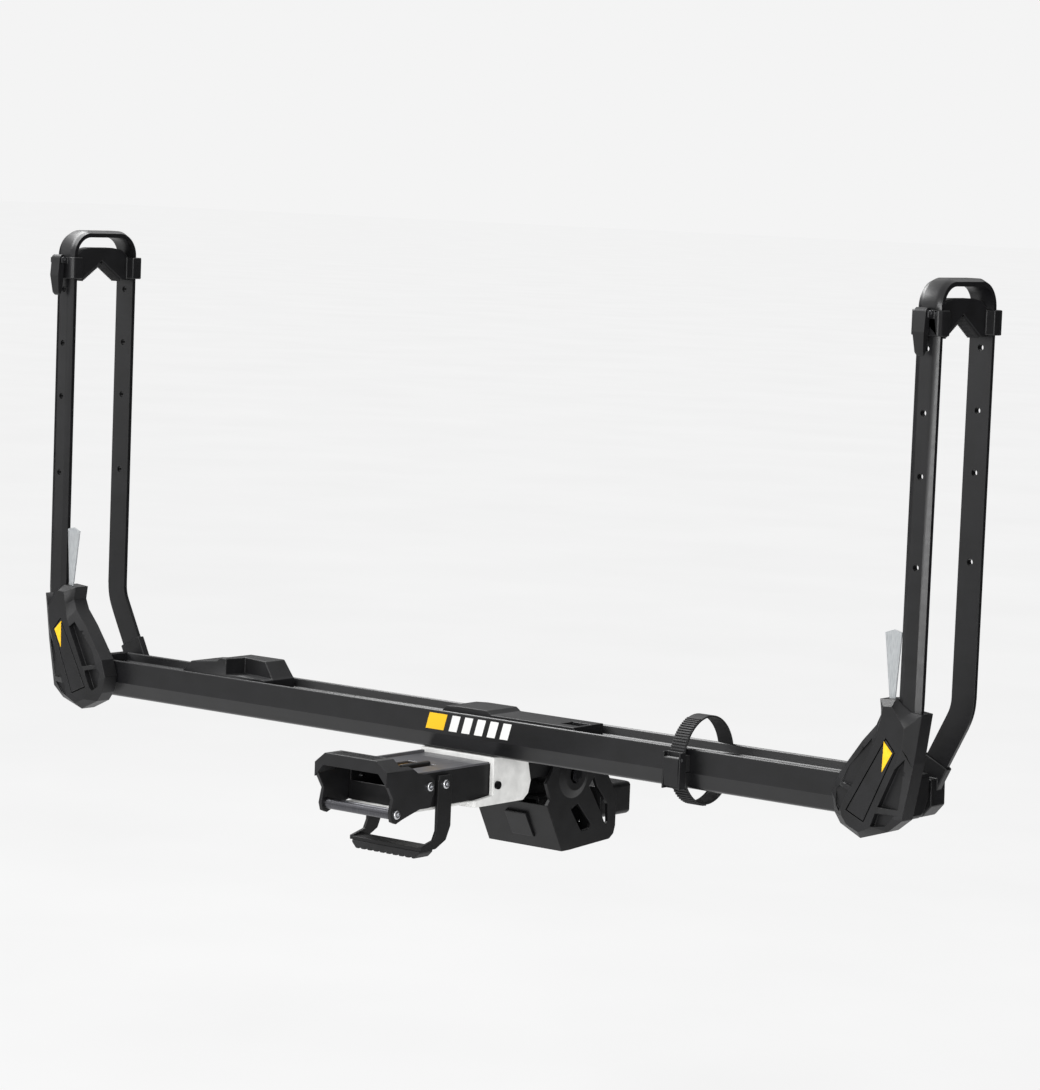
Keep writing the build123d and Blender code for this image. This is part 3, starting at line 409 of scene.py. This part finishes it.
def weigh_edges(mesh, width, least):
    """Bevel weights on the sharp edges, smaller where the neighbouring faces are narrow."""
    work = bmesh.new()
    work.from_mesh(mesh)
    layer = work.edges.layers.float.new("bevel_weight_edge")
    sharp = math.radians(SHARP_ANGLE)
    for edge in work.edges:
        faces = edge.link_faces
        long_enough = edge.calc_length() > max(least, width)
        if long_enough and len(faces) == 2 and edge.calc_face_angle(0) > sharp:
            room = min(clearance(edge, face) for face in faces)
            share = min(1.0, room / (ROOM_PER_WIDTH * width))
            edge[layer] = share if share > LEAST_SHARE else 0.0
    work.to_mesh(mesh)
    work.free()


def ease_edges(piece, width, least=0.0):
    """Rounds the sharp edges and keeps the flats flat."""
    piece.data.shade_smooth()
    piece.data.set_sharp_from_angle(angle=math.radians(SHARP_ANGLE))
    weigh_edges(piece.data, width, least)
    bevel = piece.modifiers.new("eased_edges", "BEVEL")
    bevel.width = width
    bevel.segments = EDGE_SEGMENTS
    bevel.limit_method = "WEIGHT"
    bevel.use_clamp_overlap = False
    bevel.loop_slide = False
    weigh = piece.modifiers.new("flat_faces", "WEIGHTED_NORMAL")
    weigh.weight = FLAT_WEIGHT
    weigh.keep_sharp = True
    return piece


def merged_mesh(node):
    """A copy of a CAD node's mesh with its corners merged and its flat faces made whole."""
    mesh = NODES[node].data.copy()
    work = bmesh.new()
    work.from_mesh(mesh)
    bmesh.ops.remove_doubles(work, verts=work.verts, dist=MERGE_DISTANCE)
    bmesh.ops.dissolve_limit(work, angle_limit=math.radians(FLAT_ANGLE), verts=work.verts,
                             edges=work.edges)
    work.to_mesh(mesh)
    work.free()
    return mesh


def finished(node, width, least=0.0):
    """The CAD node as a finished piece with eased edges, in its place and on its body."""
    piece = mesh_object(node + "_finished", merged_mesh(node), SLOT_OF[node])
    ease_edges(piece, width, least=least)
    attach(piece, BODY_OF[node])
    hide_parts(node)


def dressed(node):
    """The CAD node as it is, with its finish."""
    NODES[node].material_slots[0].material = FINISHES[SLOT_OF[node]]


def upright_plate(name, outline, front, back, slot, finish, width):
    """An outline in the X-Z plane carried from front to back, with eased edges."""
    work = bmesh.new()
    rings = [[work.verts.new((x, y, z)) for x, z in outline] for y in (front, back)]
    work.faces.new(rings[0])
    work.faces.new(rings[1])
    count = len(outline)
    for i in range(count):
        j = (i + 1) % count
        work.faces.new((rings[0][i], rings[0][j], rings[1][j], rings[1][i]))
    bmesh.ops.recalc_face_normals(work, faces=work.faces)
    mesh = bpy.data.meshes.new(name)
    work.to_mesh(mesh)
    work.free()
    return ease_edges(mesh_object(name, mesh, slot, finish), width)


# ---- Geometry Nodes ------------------------------------------------------------------------
def new_tree(name, inputs):
    """A geometry tree with named inputs. Returns the tree, its input and its output node."""
    tree = bpy.data.node_groups.new(name, "GeometryNodeTree")
    tree.interface.new_socket("Geometry", in_out="INPUT", socket_type="NodeSocketGeometry")
    for label, kind, value in inputs:
        socket = tree.interface.new_socket(label, in_out="INPUT", socket_type="NodeSocket" + kind)
        if value is not None:
            socket.default_value = value
    tree.interface.new_socket("Geometry", in_out="OUTPUT", socket_type="NodeSocketGeometry")
    return tree, add(tree, "NodeGroupInput").outputs, add(tree, "NodeGroupOutput")


def finish_tree(tree, given, out, geometry):
    """Ends a tree with Realize Instances and Set Material."""
    solid = add(tree, "GeometryNodeRealizeInstances", links={"Geometry": geometry})
    painted = add(tree, "GeometryNodeSetMaterial",
                  links={"Geometry": solid.outputs["Geometry"], "Material": given["Material"]})
    tree.links.new(painted.outputs["Geometry"], out.inputs["Geometry"])
    return tree


def bar_row_tree():
    """Equal bars set out along a straight line."""
    tree, given, out = new_tree("bar_row", [
        ("Count", "Int", 5), ("Start", "Vector", None), ("Step", "Vector", None),
        ("Size", "Vector", None), ("Turn", "Vector", None), ("Material", "Material", None)])
    line = add(tree, "GeometryNodeMeshLine", links={
        "Count": given["Count"], "Start Location": given["Start"], "Offset": given["Step"]})
    bar = add(tree, "GeometryNodeMeshCube", links={"Size": given["Size"]})
    row = add(tree, "GeometryNodeInstanceOnPoints", links={
        "Points": line.outputs["Mesh"], "Instance": bar.outputs["Mesh"],
        "Rotation": given["Turn"]})
    return finish_tree(tree, given, out, row.outputs["Instances"])


def tooth_arc_tree():
    """Teeth across an elliptical band in the Y-Z plane, each square to the band."""
    tree, given, out = new_tree("tooth_arc", [
        ("Count", "Int", 8), ("Centre", "Vector", None), ("Half Y", "Float", 0.06),
        ("Half Z", "Float", 0.06), ("From Angle", "Float", 0.0), ("To Angle", "Float", 1.0),
        ("Size", "Vector", None), ("Material", "Material", None)])
    points = add(tree, "GeometryNodePoints", links={"Count": given["Count"]})
    index = add(tree, "GeometryNodeInputIndex").outputs["Index"]
    last = add(tree, "ShaderNodeMath", {"operation": "SUBTRACT", 1: 1.0}, {0: given["Count"]})
    share = add(tree, "ShaderNodeMath", {"operation": "DIVIDE"},
                {0: index, 1: last.outputs[0]})
    angle = add(tree, "ShaderNodeMapRange", links={
        "Value": share.outputs[0], "To Min": given["From Angle"], "To Max": given["To Angle"]})
    angle = angle.outputs["Result"]
    side = add(tree, "ShaderNodeMath", {"operation": "COSINE"}, {0: angle})
    rise = add(tree, "ShaderNodeMath", {"operation": "SINE"}, {0: angle})
    y = add(tree, "ShaderNodeMath", {"operation": "MULTIPLY"},
            {0: side.outputs[0], 1: given["Half Y"]})
    z = add(tree, "ShaderNodeMath", {"operation": "MULTIPLY"},
            {0: rise.outputs[0], 1: given["Half Z"]})
    offset = add(tree, "ShaderNodeCombineXYZ", links={"Y": y.outputs[0], "Z": z.outputs[0]})
    place = add(tree, "ShaderNodeVectorMath", {"operation": "ADD"},
                {0: given["Centre"], 1: offset.outputs[0]})
    moved = add(tree, "GeometryNodeSetPosition", links={
        "Geometry": points.outputs["Points"], "Position": place.outputs["Vector"]})
    normal_y = add(tree, "ShaderNodeMath", {"operation": "MULTIPLY"},
                   {0: side.outputs[0], 1: given["Half Z"]})
    normal_z = add(tree, "ShaderNodeMath", {"operation": "MULTIPLY"},
                   {0: rise.outputs[0], 1: given["Half Y"]})
    lean = add(tree, "ShaderNodeMath", {"operation": "ARCTAN2"},
               {0: normal_z.outputs[0], 1: normal_y.outputs[0]})
    turn = add(tree, "ShaderNodeCombineXYZ", links={"X": lean.outputs[0]})
    tooth = add(tree, "GeometryNodeMeshCube", links={"Size": given["Size"]})
    teeth = add(tree, "GeometryNodeInstanceOnPoints", links={
        "Points": moved.outputs["Geometry"], "Instance": tooth.outputs["Mesh"],
        "Rotation": turn.outputs[0]})
    return finish_tree(tree, given, out, teeth.outputs["Instances"])


def coil_tree():
    """Round wire wound to a helix along Y."""
    tree, given, out = new_tree("coil_spring", [
        ("Turns", "Float", 10.0), ("Radius", "Float", 0.01), ("Length", "Float", 0.08),
        ("Wire", "Float", 0.001), ("Start", "Vector", None), ("Material", "Material", None)])
    spiral = add(tree, "GeometryNodeCurveSpiral", {"Resolution": 24}, {
        "Rotations": given["Turns"], "Start Radius": given["Radius"],
        "End Radius": given["Radius"], "Height": given["Length"]})
    section = add(tree, "GeometryNodeCurvePrimitiveCircle", {"Resolution": 10},
                  {"Radius": given["Wire"]})
    wire = add(tree, "GeometryNodeCurveToMesh", {"Fill Caps": True}, {
        "Curve": spiral.outputs["Curve"], "Profile Curve": section.outputs["Curve"]})
    laid = add(tree, "GeometryNodeTransform", {"Rotation": (-math.pi / 2, 0, 0)}, {
        "Geometry": wire.outputs["Mesh"], "Translation": given["Start"]})
    return finish_tree(tree, given, out, laid.outputs["Geometry"])


def baked(name, tree, slot, body, width=0.0, **values):
    """Runs a tree with its named inputs, keeps the result as a plain mesh piece."""
    carrier = bpy.data.objects.new(name + "_carrier", bpy.data.meshes.new(name + "_carrier"))
    bpy.context.scene.collection.objects.link(carrier)
    modifier = carrier.modifiers.new("layout", "NODES")
    modifier.node_group = tree
    values["Material"] = FINISHES[slot]
    for item in tree.interface.items_tree:
        label = item.name.replace(" ", "_")
        if item.in_out == "INPUT" and label in values:
            modifier[item.identifier] = values[label]
    graph = bpy.context.evaluated_depsgraph_get()
    mesh = bpy.data.meshes.new_from_object(carrier.evaluated_get(graph))
    carrier.modifiers.remove(modifier)
    bpy.data.objects.remove(carrier)
    mesh.name = name
    piece = mesh_object(name, mesh, slot)
    if width:
        ease_edges(piece, width)
    else:
        piece.data.shade_smooth()
        piece.data.set_sharp_from_angle(angle=math.radians(WIRE_ANGLE))
    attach(piece, body)
    return piece


# ---- properties ----------------------------------------------------------------------------
class RackDetail(PropertyGroup):
    """Sizes of the finishing details."""
    metal_edge: FloatProperty(name="Metal edge", description="Eased edge of plates and tubes",
                              default=0.6 * MM, min=0, unit="LENGTH")
    beam_edge: FloatProperty(name="Beam edge", description="Rounded edge of the extrusion",
                             default=2.0 * MM, min=0, unit="LENGTH")
    moulded_edge: FloatProperty(name="Moulded edge", description="Radius on moulded pieces",
                                default=1.5 * MM, min=0, unit="LENGTH")
    strap_teeth: IntProperty(name="Strap teeth", description="Teeth on the strap's lower run",
                             default=11, min=2)
    pad_ribs: IntProperty(name="Pad ribs", description="Ribs on each yoke pad", default=14, min=2)
    coil_turns: FloatProperty(name="Coil turns", description="Turns of the latch spring",
                              default=11.0, min=1)


class RackStage(PropertyGroup):
    """Studio around the rack."""
    paper: FloatVectorProperty(name="Backdrop", description="Colour of the light around",
                               subtype="COLOR", size=3, default=linear("#f4f4f4")[:3])
    floor_drop: FloatProperty(name="Floor drop", description="Floor below the hitch pin hole",
                              default=0.42, unit="LENGTH")
    top_light: FloatProperty(name="Top light", description="Power of the overhead softbox",
                             default=105.0, unit="POWER")
    side_light: FloatProperty(name="Side light", description="Power of the left softbox",
                              default=7.0, unit="POWER")
    strip_light: FloatProperty(name="Strip light", description="Power of the tall strip at right",
                               default=60.0, unit="POWER")
    front_light: FloatProperty(name="Front light", description="Power of the front softbox",
                               default=12.0, unit="POWER")


# ---- operators -----------------------------------------------------------------------------
class RACK_OT_finishes(Operator):
    """Make one material for each finish of the rack"""
    bl_idname = "rack.finishes"
    bl_label = "Finishes"

    def execute(self, context):
        FINISHES.update(build_finishes())
        FINISHES["yellow_ink"] = printed_ink("yellow_ink", "#d9a80a", "#e4b718")
        FINISHES["white_ink"] = printed_ink("white_ink", "#cfcfcd", "#dededc")
        FINISHES["velvet"] = soft_rubber("black_velvet", "#0a0a0a", "#101010", (0.9, 1.0), 3.0)
        for node in NODES:
            dressed(node)
        return {"FINISHED"}


class RACK_OT_beam(Operator):
    """Tray beam with its end caps"""
    bl_idname = "rack.beam"
    bl_label = "Tray beam"

    def execute(self, context):
        sizes = context.scene.rack_detail
        finished("beam", sizes.beam_edge, 100 * MM)
        finished("end_caps", sizes.moulded_edge)
        self.stripes(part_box("beam"))
        return {"FINISHED"}

    def stripes(self, box):
        """Plain slanted stripes printed on the front face."""
        front, top = box[0].y, box[1].z
        low, high = top - STRIPE_FOOT, top - STRIPE_HEAD
        row = [(YELLOW_STRIPE, "yellow_insert", "yellow_ink")]
        row += [(stripe, "white_casting", "white_ink") for stripe in WHITE_STRIPES]
        for number, ((start, width), slot, ink) in enumerate(row):
            left, right = start * MM, (start + width) * MM
            outline = [(left, low), (right, low), (right + STRIPE_LEAN, high),
                       (left + STRIPE_LEAN, high)]
            stripe = upright_plate("stripe_%d" % number, outline, front - STRIPE_FILM, front,
                                   slot, ink, STRIPE_FILM / 4)
            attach(stripe, "tray")


class RACK_OT_tray_fittings(Operator):
    """Wheel block and centre cover in the trough"""
    bl_idname = "rack.tray_fittings"
    bl_label = "Tray fittings"

    def execute(self, context):
        sizes = context.scene.rack_detail
        finished("wheel_block", sizes.moulded_edge)
        finished("centre_cover", sizes.moulded_edge / 2)
        return {"FINISHED"}


class RACK_OT_arms(Operator):
    """The two U-shaped arms"""
    bl_idname = "rack.arms"
    bl_label = "Arms"

    def execute(self, context):
        sizes = context.scene.rack_detail
        for side in SIDES:
            finished("arm_frame_" + side, sizes.metal_edge, 6 * MM)
        return {"FINISHED"}


class RACK_OT_pods(Operator):
    """Moulded pods at the arms' feet, with their paddles and bright inserts"""
    bl_idname = "rack.pods"
    bl_label = "Pods"

    def execute(self, context):
        sizes = context.scene.rack_detail
        for side in SIDES:
            finished("front_pod_" + side, sizes.metal_edge, 6 * MM)
            finished("rear_pod_" + side, sizes.moulded_edge)
            finished("paddle_" + side, sizes.metal_edge, 3 * MM)
            finished("paddle_insert_" + side, sizes.metal_edge / 2)
        return {"FINISHED"}


class RACK_OT_blades(Operator):
    """Frosted blades beside the front legs"""
    bl_idname = "rack.blades"
    bl_label = "Blades"

    def execute(self, context):
        sizes = context.scene.rack_detail
        for side in SIDES:
            finished("arm_fin_" + side, sizes.metal_edge / 2)
        return {"FINISHED"}


class RACK_OT_yokes(Operator):
    """Sliding yokes with ribbed pads and release levers"""
    bl_idname = "rack.yokes"
    bl_label = "Yokes"

    def execute(self, context):
        sizes = context.scene.rack_detail
        tree = bar_row_tree()
        for side in SIDES:
            finished("yoke_" + side, sizes.moulded_edge)
            finished("yoke_lever_" + side, sizes.moulded_edge)
            finished("yoke_pads_" + side, sizes.metal_edge)
            self.ribs(side, sizes.pad_ribs, tree)
        return {"FINISHED"}

    def ribs(self, side, count, tree):
        """Ribs across both slopes of the notch."""
        low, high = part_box("yoke_pads_" + side)
        middle = (low + high) / 2
        rise = high.z - low.z
        for front in (-1, 1):
            run = abs(high.y - middle.y)
            foot = Vector((middle.x, middle.y + front * (run - RIB_FOOT_INSET), low.z))
            peak = Vector((middle.x, middle.y + front * RIB_PEAK_OFFSET, high.z - RIB_PEAK_DROP))
            step = (peak - foot) / count
            lean = math.atan2(rise, run)
            baked("pad_ribs_%s_%s" % (side, "front" if front < 0 else "rear"), tree, "rubber",
                  "yoke_" + side, RIB_EDGE, Count=count, Start=foot + step * 0.5, Step=step,
                  Size=(high.x - low.x - RIB_SIDE_GAP, *RIB_SIZE), Turn=(-front * lean, 0, 0))


class RACK_OT_release_box(Operator):
    """Spine channel, white casting, lid, slide and thumb bar"""
    bl_idname = "rack.release_box"
    bl_label = "Release box"

    def execute(self, context):
        sizes = context.scene.rack_detail
        for node in ("spine_channel", "box_lid", "latch_slide", "top_slider", "latch_guide",
                     "latch_bolt"):
            finished(node, sizes.metal_edge)
        finished("spine_casting", sizes.moulded_edge, 3 * MM)
        low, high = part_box("latch_spring")
        spring = baked("latch_spring_coil", coil_tree(), "bright_steel", "tray",
                       Turns=sizes.coil_turns, Radius=(high.x - low.x) / 2 - COIL_INSET,
                       Length=high.y - low.y - 2 * COIL_INSET, Wire=WIRE_RADIUS,
                       Start=((low.x + high.x) / 2, low.y + COIL_INSET, (low.z + high.z) / 2))
        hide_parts("latch_spring")
        return {"FINISHED"}


class RACK_OT_handle(Operator):
    """Release handle with its roller"""
    bl_idname = "rack.handle"
    bl_label = "Release handle"

    def execute(self, context):
        sizes = context.scene.rack_detail
        finished("handle_frame", sizes.metal_edge, 20 * MM)
        return {"FINISHED"}


class RACK_OT_foot_loop(Operator):
    """Foot loop with its cleated tread"""
    bl_idname = "rack.foot_loop"
    bl_label = "Foot loop"

    def execute(self, context):
        sizes = context.scene.rack_detail
        finished("foot_loop", sizes.metal_edge)
        finished("foot_tread", sizes.moulded_edge)
        return {"FINISHED"}


class RACK_OT_strap(Operator):
    """Ladder strap, its shoe and its buckle"""
    bl_idname = "rack.strap"
    bl_label = "Wheel strap"

    def execute(self, context):
        sizes = context.scene.rack_detail
        finished("strap_band", sizes.metal_edge)
        finished("strap_shoe", sizes.moulded_edge / 2)
        finished("buckle_base", sizes.metal_edge)
        finished("buckle_lever", sizes.metal_edge)
        low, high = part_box("strap_band")
        middle = (low + high) / 2
        tree = tooth_arc_tree()
        for name, start, stop, times in TOOTH_RUNS:
            baked("strap_teeth_" + name, tree, "rubber", "strap", TOOTH_EDGE,
                  Count=times * sizes.strap_teeth, Centre=middle,
                  Half_Y=(high.y - low.y) / 2 + TOOTH_LIFT,
                  Half_Z=(high.z - low.z) / 2 + TOOTH_LIFT,
                  From_Angle=math.radians(start), To_Angle=math.radians(stop),
                  Size=(high.x - low.x - TOOTH_SIDE_GAP, *TOOTH_SIZE))
        return {"FINISHED"}


class RACK_OT_mount(Operator):
    """Hitch bracket, stinger, cam and plugs"""
    bl_idname = "rack.mount"
    bl_label = "Hitch mount"

    def execute(self, context):
        sizes = context.scene.rack_detail
        for node in ("mount_bracket", "stinger_supports", "stinger", "index_cam", "front_plug",
                     "stinger_plug", "pivot_bolt", "pivot_nut"):
            finished(node, sizes.metal_edge)
        return {"FINISHED"}


class RACK_OT_stage(Operator):
    """Pale floor, soft lights and the camera"""
    bl_idname = "rack.stage"
    bl_label = "Studio"

    def execute(self, context):
        scene, look = context.scene, context.scene.rack_stage
        scene.view_settings.view_transform = "Standard"
        self.sky(scene, look)
        self.floor(look)
        self.flag("wide_flag", *WIDE_FLAG)
        self.flag("right_flag", *RIGHT_FLAG, RIGHT_FLAG_FOOT - look.floor_drop, RIGHT_FLAG_HEAD)
        middle = (CAD_BOX[0] + CAD_BOX[1]) / 2
        for name, place, wide, high, power in (
                ("top_softbox", (-1.3, -0.6, 2.3), 2.8, 1.0, look.top_light),
                ("left_softbox", (-2.6, -2.2, 0.9), 1.2, 1.6, look.side_light),
                ("front_softbox", (-1.1, -3.4, 0.85), 2.2, 1.2, look.front_light),
                ("strip_softbox", (1.84, -3.12, 0.8), 0.7, 1.9, look.strip_light)):
            self.softbox(name, Vector(place), middle, wide, high, power)
        self.camera(scene)
        return {"FINISHED"}

    def sky(self, scene, look):
        """Even pale light from all around."""
        world = bpy.data.worlds.new("pale_sky")
        world.use_nodes = True
        world.node_tree.nodes["Background"].inputs["Color"].default_value = (*look.paper, 1)
        scene.world = world

    def floor(self, look):
        """Pale floor that runs to the horizon."""
        bpy.ops.mesh.primitive_plane_add(size=FLOOR_SIZE, location=(0, 0, -look.floor_drop))
        floor = bpy.context.active_object
        floor.name = "studio_floor"
        floor.data.materials.append(pale_studio_paper())

    def flag(self, name, radius, start, stop, low, high):
        """Curved black cloth that only reflections see: upright black faces stay deep."""
        work = bmesh.new()
        rows = []
        for step in range(FLAG_STEPS + 1):
            angle = math.radians(start + (stop - start) * step / FLAG_STEPS)
            x, y = radius * math.cos(angle), radius * math.sin(angle)
            rows.append((work.verts.new((x, y, low)), work.verts.new((x, y, high))))
        for one, two in zip(rows, rows[1:]):
            work.faces.new((one[0], one[1], two[1], two[0]))
        mesh = bpy.data.meshes.new(name)
        work.to_mesh(mesh)
        work.free()
        cloth = bpy.data.objects.new(name, mesh)
        bpy.context.scene.collection.objects.link(cloth)
        mesh.materials.append(FINISHES["velvet"])
        cloth.visible_camera = False
        cloth.visible_diffuse = False
        cloth.visible_shadow = False
        cloth.visible_transmission = False

    def softbox(self, name, place, target, wide, high, power):
        """Soft rectangular light aimed at the rack."""
        light = bpy.data.lights.new(name, "AREA")
        light.shape = "RECTANGLE"
        light.size, light.size_y, light.energy = wide, high, power
        lamp = bpy.data.objects.new(name, light)
        lamp.location = place
        lamp.visible_camera = False
        lamp.rotation_euler = (target - place).to_track_quat("-Z", "Y").to_euler()
        bpy.context.scene.collection.objects.link(lamp)

    def camera(self, scene):
        """Long lens, seen from the front right and a little above."""
        lens = bpy.data.cameras.new("camera")
        lens.sensor_width, lens.lens = CAMERA_SENSOR, CAMERA_LENS
        lens.clip_end = CAMERA_REACH
        camera = bpy.data.objects.new("camera", lens)
        heading, pitch, roll = (math.radians(a) for a in CAMERA_ANGLES)
        turn = (Matrix.Rotation(heading, 4, "Z") @ Matrix.Rotation(math.pi / 2 + pitch, 4, "X")
                @ Matrix.Rotation(-roll, 4, "Z"))
        camera.matrix_world = Matrix.Translation(CAMERA_PLACE) @ turn
        scene.collection.objects.link(camera)
        scene.camera = camera


PIECE_OPERATORS = (RACK_OT_finishes, RACK_OT_beam, RACK_OT_tray_fittings, RACK_OT_arms,
                   RACK_OT_pods, RACK_OT_blades, RACK_OT_yokes, RACK_OT_release_box,
                   RACK_OT_handle, RACK_OT_foot_loop, RACK_OT_strap, RACK_OT_mount,
                   RACK_OT_stage)


class RACK_PT_looks(Panel):
    """Lists the rack's pieces in the order in which they are made"""
    bl_label = "Bike Rack"
    bl_idname = "RACK_PT_looks"
    bl_space_type = "VIEW_3D"
    bl_region_type = "UI"
    bl_category = "Bike Rack"

    def draw(self, context):
        for group in (context.scene.rack_detail, context.scene.rack_stage):
            for name in group.__annotations__:
                self.layout.prop(group, name)
        for operator in PIECE_OPERATORS:
            self.layout.operator(operator.bl_idname)


CLASSES = (RackDetail, RackStage, *PIECE_OPERATORS, RACK_PT_looks)


def register():
    for cls in CLASSES:
        bpy.utils.register_class(cls)
    bpy.types.Scene.rack_detail = PointerProperty(type=RackDetail)
    bpy.types.Scene.rack_stage = PointerProperty(type=RackStage)


def unregister():
    del bpy.types.Scene.rack_stage
    del bpy.types.Scene.rack_detail
    for cls in reversed(CLASSES):
        bpy.utils.unregister_class(cls)


def main():
    """Makes every piece in order."""
    register()
    for operator in PIECE_OPERATORS:
        group, name = operator.bl_idname.split(".")
        getattr(getattr(bpy.ops, group), name)()


if __name__ == "__main__":
    main()
